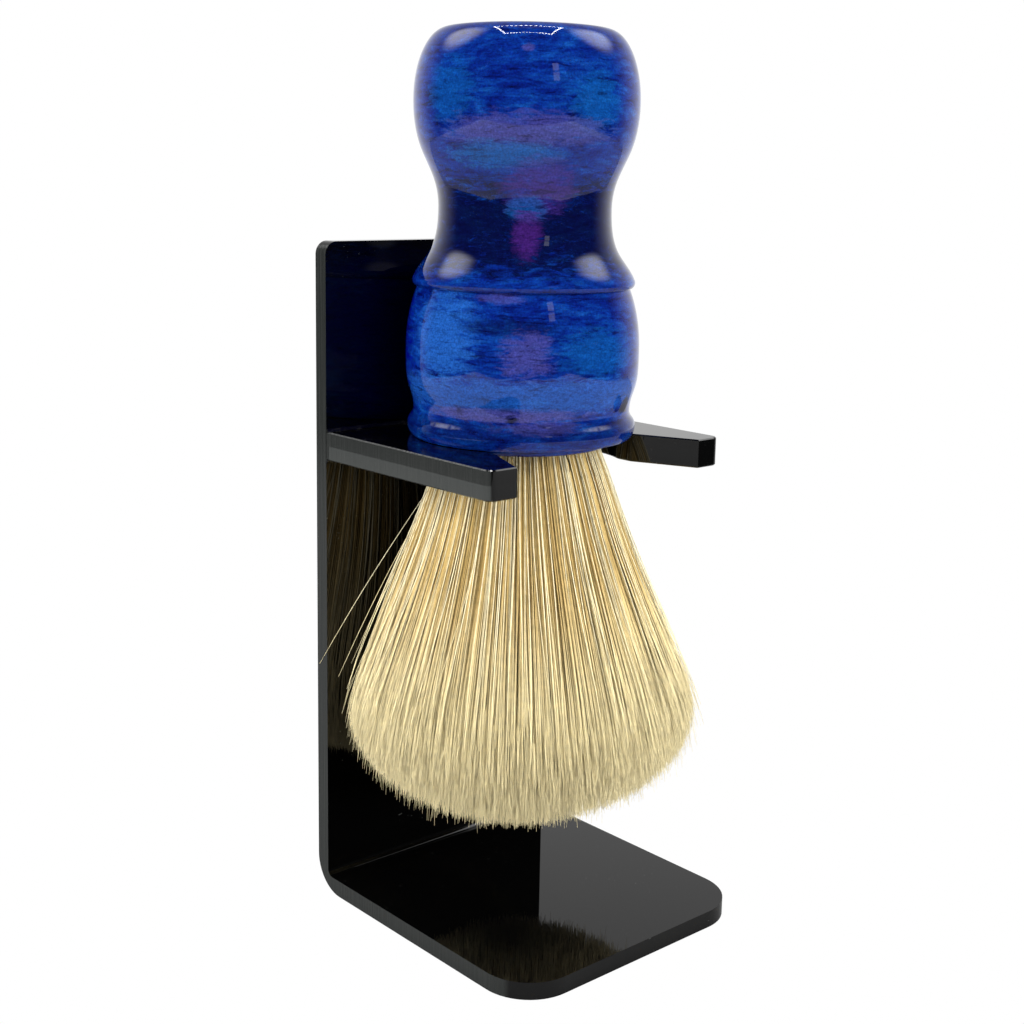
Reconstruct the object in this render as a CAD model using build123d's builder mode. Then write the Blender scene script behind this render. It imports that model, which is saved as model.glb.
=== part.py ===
"""Barber brush with a turned resin handle and a boar-bristle knot, hung in an acrylic drip stand.

Units are millimetres. +Z is up. The origin is the centre of the footprint, on the underside of the
stand's base. The front of the stand, where the fork opens, faces -Y. The brush hangs with its bristles
down, and it comes out of the fork along -Y.
"""

import os

from build123d import *

# ---------------------------------------------------------------- stand: bent panel
stand_width = 53.0
stand_depth = 57.0
stand_height = 118.5
sheet_thickness = 3.0
bend_inner_radius = 1.2
bend_outer_radius = 6.5
base_corner_radius = 9.0
panel_corner_radius = 2.3
panel_front_y = stand_depth / 2 - sheet_thickness
base_front_y = -stand_depth / 2
edge_break = 0.2

# ---------------------------------------------------------------- stand: fork
fork_thickness = 5.0
fork_length = 44.0
fork_top_z = 85.6
fork_tip_y = panel_front_y - fork_length
fork_tip_outer_radius = 1.6
fork_tip_inner_radius = 0.6
seat_radius = 17.8
throat_half_gap = 15.9
throat_length = 3.3
mouth_half_gap_tip = 21.0
throat_radius = 2.5
cement_film = 0.15
cement_bead = 0.5

# ---------------------------------------------------------------- brush: place in the stand
brush_axis_y = panel_front_y - 21.2
seat_gap = 0.1
panel_gap = 0.3

# ---------------------------------------------------------------- brush: handle (radius, height)
handle_top_z = 154.2
crown_flat_radius = 13.5
bulb_radius, bulb_z = 19.15, 142.3
shoulder_radius, shoulder_z = 17.8, 134.4
neck_radius, neck_z = 14.8, 124.7
flare_radius, flare_z = 16.2, 117.3
bead_radius, bead_z = 19.1, 112.7
bead_edge_radius, bead_edge_z = 19.0, 111.8
groove_radius, groove_z = 18.3, 111.3
barrel_top_radius, barrel_top_z = 19.5, 107.4
barrel_radius, barrel_z = 20.2, 100.6
barrel_foot_radius, barrel_foot_z = 19.8, 94.8
waist_radius, waist_z = 18.8, 90.3
lip_radius, lip_z = 19.8, 87.9
lip_round_radius, lip_round_z = 19.6, 86.5
seat_ring_radius = 19.0
seat_ring_z = fork_top_z + seat_gap
boss_radius = 15.6
boss_length = 1.5
boss_round = 0.9
handle_end_z = seat_ring_z - boss_length
socket_radius = 13.6
socket_top_z = 106.6

# ---------------------------------------------------------------- brush: knot (radius, height)
adhesive_thickness = 0.6
plug_radius = 13.2
plug_top_z = socket_top_z - adhesive_thickness
plug_bottom_z = 94.0
root_radius = 12.4
root_top_z = 103.5
thread_radius = 0.4
thread_turns = 4
thread_pitch = 2 * thread_radius
thread_low_z = 89.0
mouth_radius = 13.4
fan_corner_radius, fan_corner_z = 32.8, 33.6
fan_round = 9.0
dome_corner_radius, dome_corner_z = 20.5, 20.9
dome_round = 30.0
tip_z = 17.4

brush_plane = Plane.XZ.offset(-brush_axis_y)
brush_axis = Axis((0, brush_axis_y, 0), (0, 0, 1))
side_plane = Plane.YZ.offset(-stand_width / 2)

os.makedirs("parts", exist_ok=True)


def save(piece, name):
    """Label a finished piece and write it as its own STEP file."""
    piece.part.label = name
    export_step(piece.part, f"parts/{name}.step")


# Back panel and base: one sheet, bent once along X. The bend stretches the outside of the sheet, so it
# has a larger radius outside than the inside radius plus the thickness.
with BuildPart() as bent_panel:
    with BuildSketch(side_plane):
        with BuildLine():
            outline = FilletPolyline(
                (base_front_y, 0),
                (stand_depth / 2, 0),
                (stand_depth / 2, stand_height),
                radius=bend_outer_radius,
            )
            top_edge = Line(outline @ 1, (panel_front_y, stand_height))
            inside = FilletPolyline(
                top_edge @ 1,
                (panel_front_y, sheet_thickness),
                (base_front_y, sheet_thickness),
                radius=bend_inner_radius,
            )
            Line(inside @ 1, outline @ 0)
        make_face()
    extrude(amount=stand_width)
    base_corners = bent_panel.edges().filter_by(Axis.Z).group_by(Axis.Y)[0]
    fillet(base_corners, radius=base_corner_radius)
    panel_corners = bent_panel.edges().filter_by(Axis.Y).group_by(Axis.Z)[-1]
    fillet(panel_corners, radius=panel_corner_radius)

# Fork: a flat plate with a round seat that opens forward. The seat narrows to a short straight throat,
# and the mouth flares from it to the tips.
throat_rear_y = brush_axis_y - (seat_radius**2 - throat_half_gap**2) ** 0.5
throat_front_y = throat_rear_y - throat_length
fork_rear_y = panel_front_y - cement_film
with BuildPart() as fork:
    with BuildSketch(Plane.XY.offset(fork_top_z - fork_thickness)) as fork_outline:
        with Locations((0, (fork_rear_y + fork_tip_y) / 2)):
            Rectangle(stand_width, fork_rear_y - fork_tip_y)
        with Locations((0, brush_axis_y)):
            Circle(seat_radius, mode=Mode.SUBTRACT)
        with BuildLine():
            Polyline(
                (-throat_half_gap, throat_rear_y),
                (-throat_half_gap, throat_front_y),
                (-mouth_half_gap_tip, fork_tip_y),
                (mouth_half_gap_tip, fork_tip_y),
                (throat_half_gap, throat_front_y),
                (throat_half_gap, throat_rear_y),
                close=True,
            )
        make_face(mode=Mode.SUBTRACT)
        corners = fork_outline.vertices()
        tips = corners.group_by(Axis.Y)[0].sort_by(Axis.X)
        fillet([tips[0], tips[-1]], radius=fork_tip_outer_radius)
        fillet([tips[1], tips[2]], radius=fork_tip_inner_radius)
        throat = fork_outline.vertices().filter_by_position(
            Axis.Y, throat_front_y - edge_break, throat_rear_y + edge_break
        )
        fillet(throat, radius=throat_radius)
    extrude(amount=fork_thickness)
    rim = fork.edges().filter_by(Plane.XY).filter_by_position(
        Axis.Y, fork_tip_y - edge_break, fork_rear_y - edge_break
    )
    chamfer(rim, length=edge_break)

# Cement: the film behind the fork, with a small bead squeezed out above and below it.
with BuildPart() as fork_cement:
    with BuildSketch(side_plane):
        with BuildLine():
            Polyline(
                (panel_front_y, fork_top_z + cement_bead),
                (fork_rear_y, fork_top_z + cement_bead),
                (fork_rear_y - cement_bead, fork_top_z),
                (fork_rear_y, fork_top_z),
                (fork_rear_y, fork_top_z - fork_thickness),
                (fork_rear_y - cement_bead, fork_top_z - fork_thickness),
                (fork_rear_y, fork_top_z - fork_thickness - cement_bead),
                (panel_front_y, fork_top_z - fork_thickness - cement_bead),
                close=True,
            )
        make_face()
    extrude(amount=stand_width)

# Handle: one revolved profile, from the crown down to the lip, with the boss that drops into the
# fork's seat and the blind socket for the knot.
with BuildPart() as handle:
    with BuildSketch(brush_plane):
        with BuildLine():
            Line((0, handle_top_z), (crown_flat_radius, handle_top_z))
            EllipticalCenterArc(
                center=(crown_flat_radius, bulb_z),
                x_radius=bulb_radius - crown_flat_radius,
                y_radius=handle_top_z - bulb_z,
                start_angle=0,
                arc_size=90,
            )
            Spline(
                (bulb_radius, bulb_z),
                (shoulder_radius, shoulder_z),
                (neck_radius, neck_z),
                tangents=((0, -1), (0, -1)),
            )
            Spline(
                (neck_radius, neck_z),
                (flare_radius, flare_z),
                (bead_radius, bead_z),
                tangents=((0, -1), (0.4, -1)),
            )
            ThreePointArc(
                (bead_radius, bead_z),
                (bead_edge_radius, bead_edge_z),
                (groove_radius, groove_z),
            )
            Spline(
                (groove_radius, groove_z),
                (barrel_top_radius, barrel_top_z),
                (barrel_radius, barrel_z),
                tangents=((0.4, -1), (0, -1)),
            )
            Spline(
                (barrel_radius, barrel_z),
                (barrel_foot_radius, barrel_foot_z),
                (waist_radius, waist_z),
                tangents=((0, -1), (0, -1)),
            )
            Spline(
                (waist_radius, waist_z),
                (lip_radius, lip_z),
                tangents=((0, -1), (0, -1)),
            )
            ThreePointArc(
                (lip_radius, lip_z),
                (lip_round_radius, lip_round_z),
                (seat_ring_radius, seat_ring_z),
            )
            Polyline(
                (seat_ring_radius, seat_ring_z),
                (boss_radius, seat_ring_z),
                (boss_radius, handle_end_z + boss_round),
            )
            RadiusArc(
                (boss_radius, handle_end_z + boss_round),
                (boss_radius - boss_round, handle_end_z),
                boss_round,
            )
            Polyline(
                (boss_radius - boss_round, handle_end_z),
                (socket_radius, handle_end_z),
                (socket_radius, socket_top_z),
                (0, socket_top_z),
                (0, handle_top_z),
            )
        make_face()
    revolve(axis=brush_axis)

# Adhesive bed: a thin cap over the plug that fills the end of the socket.
with BuildPart() as socket_adhesive:
    with BuildSketch(brush_plane):
        with BuildLine():
            Polyline(
                (0, socket_top_z),
                (socket_radius, socket_top_z),
                (socket_radius, plug_bottom_z),
                (plug_radius, plug_bottom_z),
                (plug_radius, plug_top_z),
                (0, plug_top_z),
                close=True,
            )
        make_face()
    revolve(axis=brush_axis)

# Plug: the cup of potting resin around the root ends of the bristles.
with BuildPart() as knot_plug:
    with BuildSketch(brush_plane):
        with BuildLine():
            Polyline(
                (0, plug_top_z),
                (plug_radius, plug_top_z),
                (plug_radius, plug_bottom_z),
                (root_radius, plug_bottom_z),
                (root_radius, root_top_z),
                (0, root_top_z),
                close=True,
            )
        make_face()
    revolve(axis=brush_axis)

# Binding thread: close turns around the bristle roots, below the plug.
with BuildPart() as binding_thread:
    with BuildSketch(brush_plane):
        with BuildLine():
            low_z = thread_low_z - thread_radius
            high_z = low_z + thread_turns * thread_pitch
            inner_wall = Line((root_radius, high_z), (root_radius, low_z))
            start = inner_wall @ 1
            Line(start, (root_radius + thread_radius, low_z))
            for turn in range(thread_turns):
                turn_low_z = low_z + turn * thread_pitch
                ThreePointArc(
                    (root_radius + thread_radius, turn_low_z),
                    (root_radius + 2 * thread_radius, turn_low_z + thread_radius),
                    (root_radius + thread_radius, turn_low_z + thread_pitch),
                )
            Line((root_radius + thread_radius, high_z), (root_radius, high_z))
        make_face()
    revolve(axis=brush_axis)

# Bristles: the soft bundle, from the root ends in the plug to the domed tips. The fan is pressed flat
# where it meets the back panel.
with BuildPart() as bristle_bundle:
    with BuildSketch(brush_plane):
        with BuildLine():
            Polyline(
                (0, root_top_z),
                (root_radius, root_top_z),
                (root_radius, thread_low_z - thread_radius),
                (mouth_radius, handle_end_z),
            )
            FilletPolyline(
                (mouth_radius, handle_end_z),
                (fan_corner_radius, fan_corner_z),
                (dome_corner_radius, dome_corner_z),
                (0, tip_z),
                radius=(fan_round, dome_round),
            )
            Line((0, tip_z), (0, root_top_z))
        make_face()
    revolve(axis=brush_axis)
    split(bisect_by=Plane.XZ.offset(panel_gap - panel_front_y), keep=Keep.TOP)

save(bent_panel, "bent_panel")
save(fork, "fork")
save(fork_cement, "fork_cement")
save(handle, "handle")
save(socket_adhesive, "socket_adhesive")
save(knot_plug, "knot_plug")
save(binding_thread, "binding_thread")
save(bristle_bundle, "bristle_bundle")
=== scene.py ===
"""Looks for the barber brush in its acrylic drip stand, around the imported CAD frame.

Everything is in metres in the frame of the CAD, except where a comment says mm. The stand is
black acrylic, the handle is swirled blue resin, and the bristles are strands around a closed core.
"""

import math

import bpy
import numpy as np
from mathutils import Matrix, Vector


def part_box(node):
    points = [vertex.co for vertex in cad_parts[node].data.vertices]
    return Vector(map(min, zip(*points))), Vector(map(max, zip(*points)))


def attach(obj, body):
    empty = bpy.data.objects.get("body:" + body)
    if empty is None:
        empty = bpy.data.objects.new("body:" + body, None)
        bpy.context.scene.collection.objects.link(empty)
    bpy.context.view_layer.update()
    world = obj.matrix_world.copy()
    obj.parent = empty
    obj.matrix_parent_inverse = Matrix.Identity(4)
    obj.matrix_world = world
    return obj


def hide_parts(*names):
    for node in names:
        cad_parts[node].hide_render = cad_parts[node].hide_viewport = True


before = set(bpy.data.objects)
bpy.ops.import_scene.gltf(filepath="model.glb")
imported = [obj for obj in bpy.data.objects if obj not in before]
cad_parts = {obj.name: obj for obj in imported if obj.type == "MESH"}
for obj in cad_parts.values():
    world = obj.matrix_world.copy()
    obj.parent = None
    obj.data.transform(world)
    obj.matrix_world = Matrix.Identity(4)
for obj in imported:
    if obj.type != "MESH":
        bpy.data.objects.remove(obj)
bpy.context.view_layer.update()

MM = 0.001

# ---------------------------------------------------------------- camera
CAMERA_PLACE = (-0.175529, -0.192478, 0.130512)
CAMERA_YAW = math.radians(-41.409)
CAMERA_PITCH = math.radians(10.305)
CAMERA_ROLL = math.radians(1.004)
CAMERA_LENS = 53.68
CAMERA_SENSOR = 36.0
CAMERA_SHIFT_Y = -0.06

# ---------------------------------------------------------------- places from the CAD
handle_low, handle_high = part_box("handle")
fan_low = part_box("bristle_bundle")[0]
panel_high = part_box("bent_panel")[1]
fork_low, fork_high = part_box("fork")
SHEET_THICKNESS = 3.0 * MM
AXIS_X = (handle_low.x + handle_high.x) / 2
AXIS_Y = (handle_low.y + handle_high.y) / 2
PANEL_FRONT_Y = panel_high.y - SHEET_THICKNESS
# level directions: to the right of the main view, and toward its camera
RIGHT = Vector((math.cos(CAMERA_YAW), math.sin(CAMERA_YAW), 0))
FRONT = Vector((math.sin(CAMERA_YAW), -math.cos(CAMERA_YAW), 0))


def set_camera():
    """The camera of the main view, placed from its yaw, pitch and roll."""
    ahead = Vector(
        (
            -math.sin(CAMERA_YAW) * math.cos(CAMERA_PITCH),
            math.cos(CAMERA_YAW) * math.cos(CAMERA_PITCH),
            -math.sin(CAMERA_PITCH),
        )
    )
    above = RIGHT.cross(ahead)
    right = RIGHT * math.cos(CAMERA_ROLL) + above * math.sin(CAMERA_ROLL)
    up = above * math.cos(CAMERA_ROLL) - RIGHT * math.sin(CAMERA_ROLL)
    data = bpy.data.cameras.new("camera")
    data.lens = CAMERA_LENS
    data.sensor_width = CAMERA_SENSOR
    data.shift_y = CAMERA_SHIFT_Y
    data.clip_start = 0.01
    data.clip_end = 50
    camera = bpy.data.objects.new("camera", data)
    turned = Matrix((right, up, -ahead)).transposed().to_4x4()
    camera.matrix_world = Matrix.Translation(CAMERA_PLACE) @ turned
    bpy.context.scene.collection.objects.link(camera)
    bpy.context.scene.camera = camera


# ---------------------------------------------------------------- node helpers
def linear(red, green, blue):
    """An sRGB colour with channels from 0 to 255, as the linear colour that sockets take."""
    channels = []
    for value in (red, green, blue):
        share = value / 255
        channels.append(share / 12.92 if share <= 0.04045 else ((share + 0.055) / 1.055) ** 2.4)
    return (*channels, 1.0)


class Tree:
    """Short calls that add and link the nodes of one material or world."""

    def __init__(self, owner):
        owner.use_nodes = True
        self.nodes = owner.node_tree.nodes
        self.links = owner.node_tree.links

    def feed(self, socket, value):
        if isinstance(value, bpy.types.NodeSocket):
            self.links.new(value, socket)
        else:
            socket.default_value = value

    def math(self, operation, *values, clamp=False):
        node = self.nodes.new("ShaderNodeMath")
        node.operation = operation
        node.use_clamp = clamp
        for socket, value in zip(node.inputs, values):
            self.feed(socket, value)
        return node.outputs[0]

    def vector(self, operation, *values):
        node = self.nodes.new("ShaderNodeVectorMath")
        node.operation = operation
        for socket, value in zip(node.inputs, values):
            self.feed(socket, value)
        return node.outputs["Value" if operation in ("DOT_PRODUCT", "LENGTH") else "Vector"]

    def xyz(self, vector):
        node = self.nodes.new("ShaderNodeSeparateXYZ")
        self.feed(node.inputs[0], vector)
        return node.outputs[0], node.outputs[1], node.outputs[2]

    def combine(self, x, y, z):
        node = self.nodes.new("ShaderNodeCombineXYZ")
        for socket, value in zip(node.inputs, (x, y, z)):
            self.feed(socket, value)
        return node.outputs[0]

    def mix(self, factor, first, second):
        node = self.nodes.new("ShaderNodeMix")
        node.data_type = "RGBA"
        self.feed(node.inputs["Factor"], factor)
        self.feed(node.inputs["A"], first)
        self.feed(node.inputs["B"], second)
        return node.outputs["Result"]

    def scaled(self, factor, colour, amount):
        """The colour multiplied by a grey value, as far as the factor says."""
        node = self.nodes.new("ShaderNodeMix")
        node.data_type = "RGBA"
        node.blend_type = "MULTIPLY"
        self.feed(node.inputs["Factor"], factor)
        self.feed(node.inputs["A"], colour)
        self.feed(node.inputs["B"], self.combine(amount, amount, amount))
        return node.outputs["Result"]

    def between(self, value, low, high, at_low=0.0, at_high=1.0):
        """A smooth step of the value from low to high."""
        node = self.nodes.new("ShaderNodeMapRange")
        node.interpolation_type = "SMOOTHSTEP"
        node.clamp = True
        for name, number in (
            ("Value", value),
            ("From Min", low),
            ("From Max", high),
            ("To Min", at_low),
            ("To Max", at_high),
        ):
            self.feed(node.inputs[name], number)
        return node.outputs["Result"]

    def noise(self, vector, scale, detail=3.0, roughness=0.5, distortion=0.0):
        node = self.nodes.new("ShaderNodeTexNoise")
        self.feed(node.inputs["Vector"], vector)
        node.inputs["Scale"].default_value = scale
        node.inputs["Detail"].default_value = detail
        node.inputs["Roughness"].default_value = roughness
        node.inputs["Distortion"].default_value = distortion
        return node.outputs["Fac"]

    def ramp(self, value, stops):
        node = self.nodes.new("ShaderNodeValToRGB")
        self.feed(node.inputs[0], value)
        elements = node.color_ramp.elements
        while len(elements) < len(stops):
            elements.new(0.5)
        for element, (position, colour) in zip(elements, stops):
            element.position = position
            element.color = colour
        return node.outputs["Color"]

    def attribute(self, name):
        node = self.nodes.new("ShaderNodeAttribute")
        node.attribute_name = name
        return node.outputs["Fac"]

    def place(self):
        return self.nodes.new("ShaderNodeTexCoord").outputs["Object"]

    def normal(self):
        return self.nodes.new("ShaderNodeNewGeometry").outputs["Normal"]

    def bump(self, height, strength, distance):
        node = self.nodes.new("ShaderNodeBump")
        node.inputs["Strength"].default_value = strength
        node.inputs["Distance"].default_value = distance
        self.feed(node.inputs["Height"], height)
        return node.outputs[0]


def new_material(name):
    """A material with its tree and its Principled shader."""
    material = bpy.data.materials.new(name)
    tree = Tree(material)
    shader = next(n for n in tree.nodes if n.type == "BSDF_PRINCIPLED")
    return material, tree, shader


def paint(node_name, material):
    """Gives a CAD node a material in every slot."""
    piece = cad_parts[node_name]
    if not piece.data.materials:
        piece.data.materials.append(material)
    for slot in piece.material_slots:
        slot.material = material


# ---------------------------------------------------------------- world, lights and floor
WHITE = (1.0, 1.0, 1.0, 1.0)
# the sweep is full and ends at these cosines of the angle from the camera's side
SWEEP_FULL = -0.985
SWEEP_END = -0.12
ROOM_DARK = (0.03, 0.03, 0.03, 1.0)
SPOT_TURN = 110
SPOT_RISE = 47
SPOT_WIDE = math.cos(math.radians(24))
SPOT_CORE = math.cos(math.radians(5))
SPOT_FALLOFF = 2.2
SPOT_RADIANCE = 3.6


def away_from_brush(turn, rise):
    """The direction away from the brush, turned right from the camera's side and raised, in degrees."""
    turn = math.radians(turn)
    rise = math.radians(rise)
    level = FRONT * math.cos(turn) + RIGHT * math.sin(turn)
    return level * math.cos(rise) + Vector((0, 0, 1)) * math.sin(rise)


def set_world():
    """White to the camera. The object sees a sweep behind it, two soft spots and a dark room."""
    world = bpy.data.worlds.new("studio")
    bpy.context.scene.world = world
    tree = Tree(world)
    tree.nodes.clear()
    direction = tree.nodes.new("ShaderNodeTexCoord").outputs["Generated"]
    x, y, height = tree.xyz(direction)
    square = tree.math("ADD", tree.math("MULTIPLY", x, x), tree.math("MULTIPLY", y, y))
    level = tree.math("SQRT", square)
    ahead = tree.math("DIVIDE", tree.vector("DOT_PRODUCT", direction, tuple(FRONT)), level)
    behind = tree.between(ahead, SWEEP_FULL, SWEEP_END, 1.0, 0.0)
    sweep = tree.ramp(
        height,
        (
            (0.00, WHITE),
            (0.17, (0.95, 0.95, 0.95, 1.0)),
            (0.50, (0.60, 0.60, 0.60, 1.0)),
            (0.87, (0.35, 0.35, 0.35, 1.0)),
        ),
    )
    colour = tree.mix(behind, ROOM_DARK, sweep)
    glow = 0.0
    for side in (-1, 1):
        centre = tuple(away_from_brush(side * SPOT_TURN, SPOT_RISE))
        toward = tree.vector("DOT_PRODUCT", direction, centre)
        spot = tree.math("POWER", tree.between(toward, SPOT_WIDE, SPOT_CORE), SPOT_FALLOFF)
        glow = tree.math("ADD", glow, tree.math("MULTIPLY", spot, SPOT_RADIANCE))
    colour = tree.vector("ADD", colour, tree.combine(glow, glow, glow))
    seen = tree.nodes.new("ShaderNodeLightPath").outputs["Is Camera Ray"]
    background = tree.nodes.new("ShaderNodeBackground")
    tree.feed(background.inputs["Color"], tree.mix(seen, colour, WHITE))
    output = tree.nodes.new("ShaderNodeOutputWorld")
    tree.links.new(background.outputs[0], output.inputs["Surface"])


AIM_Z = 0.09
LED_TARGET_Z = 0.12
# name, turn and rise in degrees, distance, width, height, radiance, and whether reflections show it
SOFTBOXES = (
    ("key_left", -58, 30, 0.95, 0.50, 0.40, 11.5, False),
    ("key_right", 54, 30, 0.95, 0.50, 0.40, 11.5, False),
    ("low_left", -62, 4, 0.95, 0.50, 0.22, 23.0, False),
    ("low_right", 62, 4, 0.95, 0.50, 0.22, 23.0, False),
    ("window_upper", 29, 29.5, 0.70, 0.070, 0.075, 1.4, True),
    ("window_lower", 29, 22.0, 0.70, 0.070, 0.075, 1.2, True),
)
LED_RISE = 89
LED_DISTANCE = 0.55
LED_WIDTH = 0.33
LED_DEPTH = 0.27
LED_SPACING = 0.022
LED_DOT = 0.012
LED_STRENGTH = 40.0


def softbox(name, turn, rise, distance, width, height, radiance, glossy):
    """An area light aimed at the brush, as bright as its radiance says."""
    target = Vector((AXIS_X, AXIS_Y, AIM_Z))
    away = away_from_brush(turn, rise)
    data = bpy.data.lights.new(name, "AREA")
    data.shape = "RECTANGLE"
    data.size = width
    data.size_y = height
    data.energy = radiance * math.pi * width * height
    light = bpy.data.objects.new(name, data)
    light.location = target + away * distance
    light.rotation_euler = (-away).to_track_quat("-Z", "Y").to_euler()
    light.visible_camera = False
    light.visible_glossy = glossy
    bpy.context.scene.collection.objects.link(light)


def emitter(name, quads, strength):
    """Small glowing rectangles that only reflections see."""
    mesh = bpy.data.meshes.new(name)
    points = [corner for quad in quads for corner in quad]
    mesh.from_pydata(points, [], [tuple(range(n * 4, n * 4 + 4)) for n in range(len(quads))])
    material, _, shader = new_material(name)
    shader.inputs["Base Color"].default_value = (0, 0, 0, 1)
    shader.inputs["Emission Color"].default_value = WHITE
    shader.inputs["Emission Strength"].default_value = strength
    mesh.materials.append(material)
    piece = bpy.data.objects.new(name, mesh)
    bpy.context.scene.collection.objects.link(piece)
    piece.visible_camera = False
    piece.visible_diffuse = False
    piece.visible_shadow = False


def led_frame():
    """A ring light overhead: a rectangle outlined by small lamps."""
    centre = Vector((AXIS_X, AXIS_Y, LED_TARGET_Z)) + away_from_brush(0, LED_RISE) * LED_DISTANCE
    across = int(LED_WIDTH / LED_SPACING)
    deep = int(LED_DEPTH / LED_SPACING)
    places = []
    for step in range(across + 1):
        for side in (-0.5, 0.5):
            places.append(((step / across - 0.5) * LED_WIDTH, side * LED_DEPTH))
    for step in range(1, deep):
        for side in (-0.5, 0.5):
            places.append((side * LED_WIDTH, (step / deep - 0.5) * LED_DEPTH))
    half_across = RIGHT * LED_DOT / 2
    half_deep = FRONT * LED_DOT / 2
    quads = []
    for right, front in places:
        middle = centre + RIGHT * right + FRONT * front
        quads.append(
            [
                middle - half_across - half_deep,
                middle + half_across - half_deep,
                middle + half_across + half_deep,
                middle - half_across + half_deep,
            ]
        )
    emitter("led_frame", quads, LED_STRENGTH)


def set_lights():
    for box in SOFTBOXES:
        softbox(*box)
    led_frame()


FLOOR_SIDE = 0.45
FLOOR_FRONT = 0.43
FLOOR_BACK = 0.33
FLOOR_GLOW = 0.05
FLOOR_SHADE = (0.26, 0.28)


def set_floor():
    """A white table sheet. The camera sees it as plain white, like the sweep behind it."""
    points = []
    for right, front in ((-1, -1), (1, -1), (1, 1), (-1, 1)):
        reach = FLOOR_FRONT if front > 0 else FLOOR_BACK
        point = RIGHT * right * FLOOR_SIDE + FRONT * front * reach
        points.append((point.x, point.y, 0))
    mesh = bpy.data.meshes.new("floor")
    mesh.from_pydata(points, [], [(0, 1, 2, 3)])
    floor = bpy.data.objects.new("floor", mesh)
    bpy.context.scene.collection.objects.link(floor)
    material, tree, shader = new_material("floor_white")
    grain = tree.noise(tree.place(), 40.0)
    shade = tree.between(grain, 0.3, 0.7, *FLOOR_SHADE)
    tree.feed(shader.inputs["Base Color"], tree.combine(shade, shade, shade))
    shader.inputs["Roughness"].default_value = 0.9
    shader.inputs["Emission Color"].default_value = WHITE
    shader.inputs["Emission Strength"].default_value = FLOOR_GLOW
    white = tree.nodes.new("ShaderNodeEmission")
    seen = tree.nodes.new("ShaderNodeLightPath").outputs["Is Camera Ray"]
    choice = tree.nodes.new("ShaderNodeMixShader")
    output = next(n for n in tree.nodes if n.type == "OUTPUT_MATERIAL")
    tree.links.new(seen, choice.inputs[0])
    tree.links.new(shader.outputs[0], choice.inputs[1])
    tree.links.new(white.outputs[0], choice.inputs[2])
    tree.links.new(choice.outputs[0], output.inputs["Surface"])
    mesh.materials.append(material)


# ---------------------------------------------------------------- materials
ACRYLIC_IOR = 1.43
# noise scales, in waves per metre
DUST_SCALE = 2300.0
DUST_GATHER_SCALE = 70.0
SMEAR_SCALE = 60.0
RIPPLE_ACROSS = 1800.0
RIPPLE_UP = 60.0
CUT_EDGE_ROUGHNESS = 0.16
WITNESS_HALF_WIDTH = 0.1 * MM


def black_acrylic():
    """Polished cast faces, and laser-cut edges with upright ripples and a faint line halfway."""
    material, tree, shader = new_material("black_acrylic")
    place = tree.place()
    across, along, height = tree.xyz(place)
    normal_x = tree.xyz(tree.normal())[0]
    side = panel_high.x
    sideways = tree.between(tree.math("ABSOLUTE", normal_x), 0.55, 0.75)
    outside = tree.between(tree.math("ABSOLUTE", across), side - 1.2 * MM, side - 0.6 * MM)
    sideways = tree.math("MULTIPLY", sideways, outside)

    # the lower half of the fork's long edges is a little lighter than the upper half
    forward = tree.between(along, fork_high.y - 1.0 * MM, fork_high.y - 0.5 * MM, 1.0, 0.0)
    middle_z = (fork_low.z + fork_high.z) / 2
    line_low = middle_z - WITNESS_HALF_WIDTH
    line_high = middle_z + WITNESS_HALF_WIDTH
    lower = tree.between(height, line_low, line_high, 1.0, 0.0)
    lower = tree.math("MULTIPLY", lower, tree.between(height, fork_low.z - 1 * MM, fork_low.z))
    lower = tree.math("MULTIPLY", lower, tree.math("MULTIPLY", sideways, forward))

    # dust gathers in some places, and smears change the polish
    dust = tree.noise(place, DUST_SCALE, 2.0)
    gather = tree.noise(place, DUST_GATHER_SCALE, 2.0)
    dusty = tree.between(gather, 0.50, 0.62, 0.80, 0.70)
    speck = tree.between(dust, dusty, tree.math("ADD", dusty, 0.05))
    smear = tree.noise(place, SMEAR_SCALE, 4.0)
    colour = tree.mix(speck, linear(3, 3, 3), linear(70, 72, 70))
    colour = tree.mix(sideways, colour, linear(32, 34, 33))
    colour = tree.mix(lower, colour, linear(52, 54, 53))
    tree.feed(shader.inputs["Base Color"], colour)
    polish = tree.between(smear, 0.3, 0.8, 0.008, 0.03)
    rough = tree.math("ADD", polish, tree.math("MULTIPLY", sideways, CUT_EDGE_ROUGHNESS))
    tree.feed(shader.inputs["Roughness"], rough)

    ripple_place = tree.combine(
        tree.math("MULTIPLY", across, RIPPLE_ACROSS),
        tree.math("MULTIPLY", along, RIPPLE_ACROSS),
        tree.math("MULTIPLY", height, RIPPLE_UP),
    )
    ripple = tree.math("MULTIPLY", tree.noise(ripple_place, 1.0, 2.0), sideways)
    tree.feed(shader.inputs["Normal"], tree.bump(ripple, 0.35, 0.0002))
    shader.inputs["IOR"].default_value = ACRYLIC_IOR
    return material


RESIN_IOR = 1.5
PATCH_RAGGEDNESS = 5.5


def blob(tree, angle, height, wander, turn, level, half_turn, half_height):
    """A soft ragged patch on the handle. Its turn is in degrees and its level in mm."""
    sideways = tree.math("SUBTRACT", angle, math.radians(turn))
    sideways = tree.math("DIVIDE", sideways, math.radians(half_turn))
    upright = tree.math("DIVIDE", tree.math("SUBTRACT", height, level), half_height)
    square = tree.math("ADD", tree.math("POWER", sideways, 2.0), tree.math("POWER", upright, 2.0))
    ragged = tree.math("ADD", square, tree.math("MULTIPLY", wander, PATCH_RAGGEDNESS))
    return tree.between(ragged, 0.25, 1.65, 1.0, 0.0)


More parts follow.
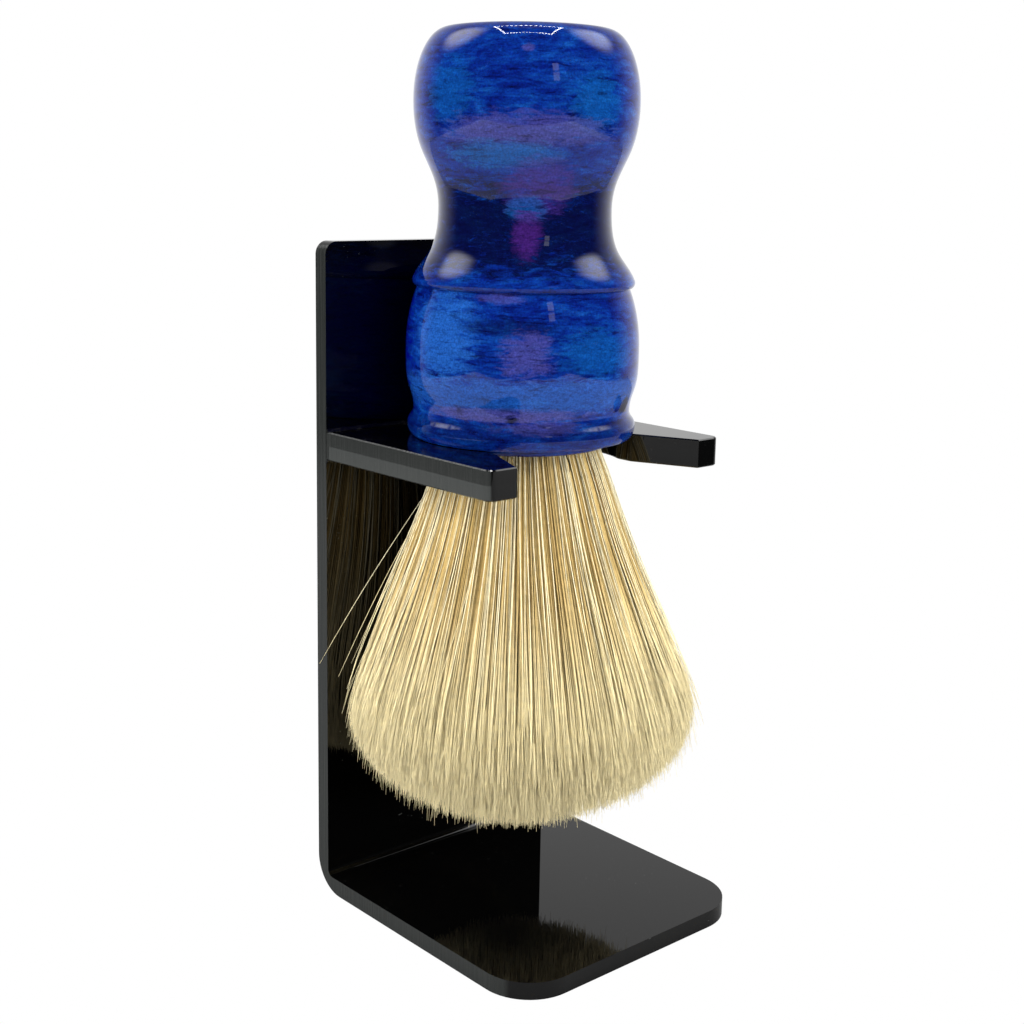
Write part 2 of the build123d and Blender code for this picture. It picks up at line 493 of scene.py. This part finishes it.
NAVY = linear(3, 6, 50)
PANEL_SIDE_SHADE_BLUE = linear(2, 8, 150)
VIOLET = linear(72, 48, 146)
PURPLE = linear(74, 34, 124)
MAUVE = linear(82, 80, 160)
TEAL = linear(14, 98, 180)
SKY = linear(40, 108, 206)
# tint, strength, and the place: turn in degrees to the right of the main view, height in mm,
# half width in degrees, half height in mm
PATCHES = (
    (NAVY, 0.90, (0, 122.0, 400, 7.5)),
    (MAUVE, 0.60, (0, 149.9, 3, 0.6)),
    (TEAL, 0.55, (36, 141.5, 15, 4.6)),
    (TEAL, 0.45, (-42, 143.0, 14, 5.0)),
    (MAUVE, 0.60, (0, 137.2, 42, 2.8)),
    (TEAL, 0.75, (-12, 133.4, 30, 2.1)),
    (VIOLET, 0.60, (9, 128.4, 21, 4.4)),
    (TEAL, 0.50, (1, 124.8, 11, 2.2)),
    (PURPLE, 0.72, (1, 120.9, 9, 3.6)),
    (MAUVE, 0.50, (-12, 110.6, 12, 0.8)),
    (SKY, 0.75, (-42, 104.0, 18, 7.0)),
    (NAVY, 0.55, (-7, 106.0, 24, 1.3)),
    (MAUVE, 0.65, (2, 101.5, 12, 3.8)),
    (TEAL, 0.50, (39, 101.8, 22, 3.8)),
    (SKY, 0.55, (0, 94.8, 400, 2.6)),
    (MAUVE, 0.75, (-9, 91.6, 40, 1.1)),
    (MAUVE, 0.70, (10, 89.6, 22, 1.0)),
    (NAVY, 0.50, (0, 88.4, 400, 1.7)),
    # painted reflection: these two dark spots stand in for the black fork arm mirrored in the glossy
    # lip
    (NAVY, 0.95, (-5, 91.0, 3, 0.8)),
    (NAVY, 1.00, (66, 92.1, 6, 1.2)),
    # painted shade: a deeper blue on the side of the barrel that faces the black panel
    (PANEL_SIDE_SHADE_BLUE, 0.90, (-112, 101.0, 40, 14.0)),
)


def swirled_resin():
    """Polished pearl resin: royal blue with lighter streaks, navy pools and mauve clouds, with painted
    reflection on the lip and painted shade on the side toward the panel.
    """
    material, tree, shader = new_material("swirled_resin")
    place = tree.vector("SCALE", tree.place())
    place.node.inputs["Scale"].default_value = 1 / MM
    place = tree.vector("SUBTRACT", place, (AXIS_X / MM, AXIS_Y / MM, 0))
    # from here on the place is in mm, measured from the handle's axis
    x, y, height = tree.xyz(place)
    to_right = tree.vector("DOT_PRODUCT", place, (RIGHT.x, RIGHT.y, 0))
    to_front = tree.vector("DOT_PRODUCT", place, (FRONT.x, FRONT.y, 0))
    angle = tree.math("ARCTAN2", to_right, to_front)
    streak_place = tree.combine(x, y, tree.math("MULTIPLY", height, 6.0))
    streaks = tree.noise(streak_place, 0.20, 7.0, 0.68, 0.5)
    flow_place = tree.combine(x, y, tree.math("MULTIPLY", height, 2.2))
    flow = tree.noise(flow_place, 0.11, 4.0, 0.6, 1.6)
    sparkle = tree.noise(place, 3.0, 2.0, 0.6)
    pearl_place = tree.combine(x, y, tree.math("MULTIPLY", height, 3.0))
    pearl = tree.noise(pearl_place, 1.1, 3.0, 0.65)
    brushed = tree.combine(x, y, tree.math("MULTIPLY", height, 4.0))
    wander = tree.math("SUBTRACT", tree.noise(brushed, 0.26, 7.0, 0.72, 0.9), 0.5)

    blend = tree.math("ADD", tree.math("MULTIPLY", flow, 0.5), tree.math("MULTIPLY", streaks, 0.5))
    colour = tree.ramp(
        blend,
        (
            (0.30, linear(3, 10, 84)),
            (0.43, linear(5, 30, 126)),
            (0.52, linear(8, 52, 152)),
            (0.60, linear(16, 76, 172)),
            (0.72, linear(34, 112, 204)),
        ),
    )
    for tint, strength, spot in PATCHES:
        mask = blob(tree, angle, height, wander, *spot)
        colour = tree.mix(tree.math("MULTIPLY", mask, strength), colour, tint)
    vein = tree.between(streaks, 0.34, 0.44, 0.55, 0.0)
    colour = tree.mix(vein, colour, NAVY)
    grain = tree.between(sparkle, 0.25, 0.75, 0.70, 1.25)
    colour = tree.scaled(1.0, colour, grain)
    colour = tree.scaled(1.0, colour, tree.between(pearl, 0.3, 0.7, 0.44, 0.64))
    tree.feed(shader.inputs["Base Color"], colour)
    tree.feed(shader.inputs["Roughness"], tree.between(flow, 0.3, 0.7, 0.02, 0.05))
    shader.inputs["IOR"].default_value = RESIN_IOR
    lathe = tree.noise(tree.combine(0.0, 0.0, height), 2.0, 2.0)
    tree.feed(shader.inputs["Normal"], tree.bump(lathe, 0.04, 0.0001))
    return material


BRISTLE_IOR = 1.4
BRISTLE_ROUGHNESS = 0.45
# the shading normals of strands lean outward from the axis by this much, and down near the tips
OUTWARD_LEAN = 1.3
DOWNWARD_LEAN = -0.002


def boar_bristle():
    """Tan at the root and cream at the tip, with each strand a little lighter or darker, and painted
    shade that darkens the strands near the root.
    """
    material, tree, shader = new_material("boar_bristle")
    tone = tree.attribute("tone")
    along = tree.attribute("along")
    root = tree.ramp(
        tone,
        (
            (0.00, linear(16, 13, 12)),
            (0.02, linear(148, 116, 62)),
            (0.35, linear(190, 160, 96)),
            (0.75, linear(212, 184, 122)),
            (1.00, linear(246, 234, 194)),
        ),
    )
    fine = tree.noise(tree.place(), 900.0, 2.0)
    pale = tree.between(along, 0.42, 0.95)
    living = tree.between(tone, 0.0, 0.02)
    lighter = tree.math("MULTIPLY", tree.math("MULTIPLY", pale, 0.9), living)
    colour = tree.mix(lighter, root, linear(252, 236, 184))
    colour = tree.scaled(1.0, colour, tree.between(fine, 0.2, 0.8, 0.86, 1.08))
    # painted shade: the strands darken toward the root, where the handle and fork shade them
    colour = tree.scaled(1.0, colour, tree.between(along, 0.0, 0.35, 0.72, 1.0))
    tree.feed(shader.inputs["Base Color"], colour)
    x, y, height = tree.xyz(tree.place())
    outward = tree.combine(
        tree.math("SUBTRACT", x, AXIS_X),
        tree.math("SUBTRACT", y, AXIS_Y),
        tree.math("MULTIPLY", tree.between(height, 0.018, 0.045, 1.0, 0.0), DOWNWARD_LEAN),
    )
    outward = tree.vector("SCALE", tree.vector("NORMALIZE", outward))
    outward.node.inputs["Scale"].default_value = OUTWARD_LEAN
    soft = tree.vector("NORMALIZE", tree.vector("ADD", tree.normal(), outward))
    tree.feed(shader.inputs["Normal"], soft)
    shader.inputs["Roughness"].default_value = BRISTLE_ROUGHNESS
    shader.inputs["IOR"].default_value = BRISTLE_IOR
    return material


ROUGHNESS_SPREAD = 0.08


def plain_finish(name, dark, light, scale, rough, bump=0.1):
    """A finish with fine mottling, for the cement and for the parts that the handle hides."""
    material, tree, shader = new_material(name)
    mottle = tree.noise(tree.place(), scale, 4.0, 0.6)
    tree.feed(shader.inputs["Base Color"], tree.mix(mottle, linear(*dark), linear(*light)))
    smoothest = rough - ROUGHNESS_SPREAD
    roughest = rough + ROUGHNESS_SPREAD
    tree.feed(shader.inputs["Roughness"], tree.between(mottle, 0.2, 0.8, smoothest, roughest))
    tree.feed(shader.inputs["Normal"], tree.bump(mottle, bump, 0.0002))
    return material


# ---------------------------------------------------------------- bristles
# the side of the fan: height and radius, in mm
FAN_SIDE = (
    (17.0, 33.2),
    (28.0, 32.4),
    (36.0, 31.2),
    (42.0, 29.6),
    (50.0, 26.5),
    (60.0, 22.3),
    (70.0, 18.3),
    (80.0, 14.8),
    (84.2, 13.2),
    (90.0, 12.2),
)
# the end of the fan: share of the way from axis to side, and height of the tips in mm
FAN_DOME = (
    (0.0, 17.4),
    (0.26, 18.0),
    (0.48, 20.0),
    (0.67, 23.2),
    (0.84, 27.8),
    (0.94, 32.0),
    (1.0, 35.0),
    (1.1, 40.0),
)
STRAND_TOP_Z = 87.5
FAN_LEAN = 0.017
DOME_TILT = 0.07
PANEL_CLEAR_Y = PANEL_FRONT_Y / MM - 0.45
PANEL_BEND = 8.0
SECTORS = ("front", "front_right", "back_right", "back", "back_left", "front_left")
CLUMPS = 210
SIDE_SHARE = 0.93
TURN_SPREAD = 0.014
RANDOM_SEED = 20
# strands per sector
OUTER_COUNT = 1300
STRAY_COUNT = 24
INNER_COUNT = 2100
RIM_COUNT = 1700


def smooth(points, values):
    """A smooth curve through a few points, read at the values."""
    xs = np.array([p[0] for p in points], float)
    ys = np.array([p[1] for p in points], float)
    slopes = np.gradient(ys, xs)
    values = np.clip(values, xs[0], xs[-1])
    index = np.clip(np.searchsorted(xs, values) - 1, 0, len(xs) - 2)
    width = xs[index + 1] - xs[index]
    t = (values - xs[index]) / width
    start, end = ys[index], ys[index + 1]
    pull_start, pull_end = slopes[index] * width, slopes[index + 1] * width
    return (
        start * (2 * t**3 - 3 * t**2 + 1)
        + pull_start * (t**3 - 2 * t**2 + t)
        + end * (3 * t**2 - 2 * t**3)
        + pull_end * (t**3 - t**2)
    )


def leaning(points):
    """The fan hangs a little to the right of its axis toward the tips. Points are in mm."""
    share = (STRAND_TOP_Z - points[..., 2]) / (STRAND_TOP_Z - fan_low.z / MM)
    to_right = (points[..., 0] - AXIS_X / MM) * RIGHT.x + (points[..., 1] - AXIS_Y / MM) * RIGHT.y
    drop = (STRAND_TOP_Z - points[..., 2]) * FAN_LEAN
    points[..., 0] += drop * RIGHT.x
    points[..., 1] += drop * RIGHT.y
    points[..., 2] += np.maximum(to_right, 0) * share**3 * DOME_TILT
    return points


def against_panel(points):
    """Bristles that would pass through the back panel bend flat against it. Points are in mm."""
    start = PANEL_CLEAR_Y - PANEL_BEND
    over = np.maximum(points[..., 1] - start, 0.0)
    bent = start + PANEL_BEND * (1 - np.exp(-over / PANEL_BEND))
    points[..., 1] = np.where(over > 0, bent, points[..., 1])
    return points


def strand_lines(
    rng, share, angle, steps, start=0.0, length_spread=0.5, wander=0.32, clump=0.22
):
    """Centre lines in mm, a row of points per strand. Share is its place from axis to side."""
    count = len(share)
    s = np.linspace(start, 1.0, steps)[None, :]
    tip_z = smooth(FAN_DOME, share)
    side = np.clip((share - SIDE_SHARE) / (1 - SIDE_SHARE), 0, 1)
    tip_z = tip_z + rng.normal(0, length_spread, count) + side * rng.uniform(-0.5, 7.0, count)
    tip_z = np.maximum(tip_z, fan_low.z / MM + 0.05)
    z = STRAND_TOP_Z + (tip_z[:, None] - STRAND_TOP_Z) * s
    radius = share[:, None] * smooth(FAN_SIDE, z)
    centres = rng.uniform(-math.pi, math.pi, CLUMPS)
    pull = (centres[None, :] - angle[:, None] + math.pi) % (2 * math.pi) - math.pi
    pull = np.take_along_axis(pull, np.argmin(np.abs(pull), axis=1)[:, None], axis=1)
    turn = angle[:, None] + pull * clump * s**2
    turn = turn + rng.normal(0, TURN_SPREAD, count)[:, None] * s
    phase = rng.uniform(0, 2 * math.pi, count)[:, None]
    sway = rng.normal(0, wander, count)[:, None]
    off_side = sway * s**2 * np.sin(phase + 2.6 * s)
    off_out = rng.normal(0, wander * 0.8, count)[:, None] * s**2 * np.cos(phase + 2.2 * s)
    radius = radius + off_out
    x = AXIS_X / MM + radius * np.sin(turn) + off_side * np.cos(turn)
    y = AXIS_Y / MM - radius * np.cos(turn) + off_side * np.sin(turn)
    return against_panel(leaning(np.stack([x, y, z], axis=-1))), s


def strand_arrays(lines, thick, along, tone, rng):
    """Three-sided tapered tubes around the lines: vertices, faces, and two values per vertex."""
    count, steps, _ = lines.shape
    run = np.gradient(lines, axis=1)
    run /= np.linalg.norm(run, axis=2, keepdims=True) + 1e-9
    helper = np.array([0.31, 0.77, 0.55])
    first = np.cross(run, helper)
    first /= np.linalg.norm(first, axis=2, keepdims=True) + 1e-9
    second = np.cross(run, first)
    twist = rng.uniform(0, 2 * math.pi, (count, 1, 1))
    corners = []
    for corner in range(3):
        angle = twist + corner * 2 * math.pi / 3
        corners.append(lines + thick[..., None] * (np.cos(angle) * first + np.sin(angle) * second))
    vertices = np.stack(corners, axis=2).reshape(-1, 3)
    base = (np.arange(count * steps) * 3).reshape(count, steps)
    quads = []
    for corner in range(3):
        after = (corner + 1) % 3
        low = base[:, :-1]
        high = base[:, 1:]
        quads.append(np.stack([low + corner, low + after, high + after, high + corner], axis=-1))
    quads = np.concatenate([q.reshape(-1, 4) for q in quads])
    root = np.stack([base[:, 0] + 2, base[:, 0] + 1, base[:, 0]], axis=-1)
    tip = np.stack([base[:, -1], base[:, -1] + 1, base[:, -1] + 2], axis=-1)
    along = np.repeat(np.broadcast_to(along, (count, steps)).reshape(-1), 3)
    tone = np.repeat(tone, steps * 3)
    return vertices, quads, np.concatenate([root, tip]), along, tone


def mesh_piece(name, groups, material):
    """One mesh object from several groups of strands. It rides on the brush."""
    vertices, quads, triangles, alongs, tones = [], [], [], [], []
    offset = 0
    for v, q, t, a, tone in groups:
        vertices.append(v)
        quads.append(q + offset)
        triangles.append(t + offset)
        alongs.append(a)
        tones.append(tone)
        offset += len(v)
    vertices = np.concatenate(vertices) * MM
    quads = np.concatenate(quads)
    triangles = np.concatenate(triangles)
    mesh = bpy.data.meshes.new(name)
    mesh.vertices.add(len(vertices))
    mesh.vertices.foreach_set("co", vertices.astype(np.float32).ravel())
    corners = np.concatenate([quads.ravel(), triangles.ravel()]).astype(np.int32)
    totals = np.concatenate([np.full(len(quads), 4), np.full(len(triangles), 3)]).astype(np.int32)
    starts = np.concatenate([[0], np.cumsum(totals)[:-1]]).astype(np.int32)
    mesh.loops.add(len(corners))
    mesh.loops.foreach_set("vertex_index", corners)
    mesh.polygons.add(len(totals))
    mesh.polygons.foreach_set("loop_start", starts)
    mesh.polygons.foreach_set("loop_total", totals)
    mesh.polygons.foreach_set("use_smooth", np.ones(len(totals), bool))
    for label, values in (("along", alongs), ("tone", tones)):
        attribute = mesh.attributes.new(label, "FLOAT", "POINT")
        attribute.data.foreach_set("value", np.concatenate(values).astype(np.float32))
    mesh.update(calc_edges=True)
    mesh.validate()
    mesh.materials.append(material)
    piece = bpy.data.objects.new(name, mesh)
    bpy.context.scene.collection.objects.link(piece)
    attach(piece, "brush")


def taper(s, thick_root, thick_tip):
    """Half thickness in mm along a strand, which thins over its last part."""
    return thick_root + (thick_tip - thick_root) * np.clip((s - 0.55) / 0.45, 0, 1) ** 1.5


def layer(rng, middle, count, share, steps, thick, tone, **shape):
    """One group of strands in a sector. Thick and tone are each a pair of numbers."""
    half = math.pi / len(SECTORS)
    angle = middle + rng.uniform(-half, half, count)
    lines, s = strand_lines(rng, share, angle, steps, **shape)
    tones = np.clip(rng.normal(*tone, count), 0.03, 1.0)
    thicks = np.broadcast_to(taper(s, *thick), lines.shape[:2])
    return strand_arrays(lines, thicks, s, tones, rng)


def sector_strands(rng, middle, material, name):
    """One sixth of the bristles: long outer strands, stray ones, and the tips that fill the dome."""
    outer = 1.0 - 0.14 * rng.uniform(0, 1, OUTER_COUNT) ** 1.3
    stray = 1.0 + 0.025 * rng.uniform(0, 1, STRAY_COUNT)
    inner = np.sqrt(rng.uniform(0, 0.96**2, INNER_COUNT))
    rim = np.sqrt(rng.uniform(0.45, 1.0, RIM_COUNT))
    thick = (0.095, 0.035)
    groups = [
        layer(rng, middle, OUTER_COUNT, outer, 12, thick, (0.52, 0.21)),
        layer(rng, middle, STRAY_COUNT, stray, 14, thick, (1.00, 0.04), wander=1.9, clump=0.0),
        layer(
            rng, middle, INNER_COUNT, inner, 5, (0.100, 0.030), (0.65, 0.20), start=0.84, wander=0.6
        ),
        layer(
            rng,
            middle,
            RIM_COUNT,
            rim,
            4,
            (0.055, 0.020),
            (0.95, 0.10),
            start=0.89,
            length_spread=1.1,
            wander=1.5,
        ),
    ]
    mesh_piece(name, groups, material)


# turn in degrees, radius and height at the root, radius and height at the tip, half thickness, tone;
# lengths are in mm
STRAY_HAIRS = (
    (-75, 16.6, 76.0, 35.5, 46.0, 0.090, 1.00),
    (-72, 16.6, 75.0, 32.5, 44.0, 0.060, 0.85),
    (-70, 17.0, 73.0, 30.5, 46.5, 0.050, 0.60),
    (33, 13.9, 84.0, 15.1, 81.4, 0.110, 0.00),
)


def stray_hairs(rng, material):
    """Single hairs that stand away from the fan, and one short dark one at the root."""
    groups = []
    for turn, near, top, far, bottom, thick, tone in STRAY_HAIRS:
        away = away_from_brush(turn, 0)
        s = np.linspace(0, 1, 12)
        radius = near + (far - near) * s + 0.5 * np.sin(s * math.pi)
        z = top + (bottom - top) * s
        x = AXIS_X / MM + away.x * radius
        y = AXIS_Y / MM + away.y * radius
        points = np.stack([x, y, z], axis=-1)[None]
        thicks = taper(s[None], thick, thick * 0.4)
        groups.append(strand_arrays(points, thicks, s[None], np.array([tone]), rng))
    mesh_piece("bristles_stray", groups, material)


CORE_SIDES = 96
CORE_INSET = 0.9
CORE_DOME_RADIUS = 31.0
CORE_DOME_LIFT = 3.2
CORE_PANEL_GAP = 0.8


def make_core(material):
    """A closed streaked body just inside the strands, so that no light shows through the fan."""
    outline = []
    for share in np.linspace(0.02, 1, 16):
        z = smooth(FAN_DOME, np.array([share]))[0] + CORE_DOME_LIFT
        outline.append((CORE_INSET * share * CORE_DOME_RADIUS, z))
    for z in np.linspace(outline[-1][1] + 1.0, STRAND_TOP_Z, 40):
        outline.append((CORE_INSET * smooth(FAN_SIDE, np.array([z]))[0], z))
    angle = np.arange(CORE_SIDES) * 2 * math.pi / CORE_SIDES
    rings = []
    for radius, z in outline:
        x = AXIS_X / MM + radius * np.sin(angle)
        y = AXIS_Y / MM - radius * np.cos(angle)
        rings.append(np.stack([x, y, np.full(CORE_SIDES, z)], axis=-1))
    points = against_panel(leaning(np.array(rings)))
    points[..., 1] = np.minimum(points[..., 1], PANEL_CLEAR_Y - CORE_PANEL_GAP)
    faces = []
    for row in range(len(rings) - 1):
        lower = row * CORE_SIDES
        upper = lower + CORE_SIDES
        for side in range(CORE_SIDES):
            after = (side + 1) % CORE_SIDES
            faces.append((lower + side, lower + after, upper + after, upper + side))
    last = (len(rings) - 1) * CORE_SIDES
    faces.append(tuple(reversed(range(CORE_SIDES))))
    faces.append(tuple(last + side for side in range(CORE_SIDES)))
    mesh = bpy.data.meshes.new("bristle_core")
    mesh.from_pydata((points.reshape(-1, 3) * MM).tolist(), [], faces)
    mesh.polygons.foreach_set("use_smooth", np.ones(len(mesh.polygons), bool))
    mesh.materials.append(material)
    piece = bpy.data.objects.new("bristle_core", mesh)
    bpy.context.scene.collection.objects.link(piece)
    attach(piece, "brush")
    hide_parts("bristle_bundle")


def core_finish():
    """Streaks that run down the fan, for the little that shows between strands."""
    material, tree, shader = new_material("bristle_shade")
    x, y, z = tree.xyz(tree.place())
    angle = tree.math("ARCTAN2", x, tree.math("SUBTRACT", y, AXIS_Y))
    streak_place = tree.combine(
        tree.math("MULTIPLY", angle, 60.0), 0.0, tree.math("MULTIPLY", z, 30.0)
    )
    streak = tree.noise(streak_place, 1.0, 3.0)
    colour = tree.mix(streak, linear(148, 122, 74), linear(204, 176, 120))
    tree.feed(shader.inputs["Base Color"], colour)
    shader.inputs["Roughness"].default_value = 0.6
    tree.feed(shader.inputs["Normal"], tree.bump(streak, 0.5, 0.0004))
    return material


def make_bristles():
    material = boar_bristle()
    rng = np.random.default_rng(RANDOM_SEED)
    make_core(core_finish())
    for number, sector in enumerate(SECTORS):
        middle = number * 2 * math.pi / len(SECTORS)
        sector_strands(rng, middle, material, f"bristles_{sector}")
    stray_hairs(rng, material)


# ---------------------------------------------------------------- scene
set_camera()
set_world()
set_lights()
set_floor()
acrylic = black_acrylic()
paint("bent_panel", acrylic)
paint("fork", acrylic)
paint("fork_cement", plain_finish("acrylic_cement", (2, 2, 2), (8, 8, 8), 900.0, 0.12))
paint("handle", swirled_resin())
paint("socket_adhesive", plain_finish("epoxy", (150, 130, 80), (190, 170, 110), 500.0, 0.35))
paint("knot_plug", plain_finish("potting_resin", (150, 104, 44), (196, 150, 80), 400.0, 0.45))
paint("binding_thread", plain_finish("thread", (200, 196, 184), (235, 230, 218), 3000.0, 0.8, 0.4))
make_bristles()
bpy.context.scene.view_settings.view_transform = "Standard"
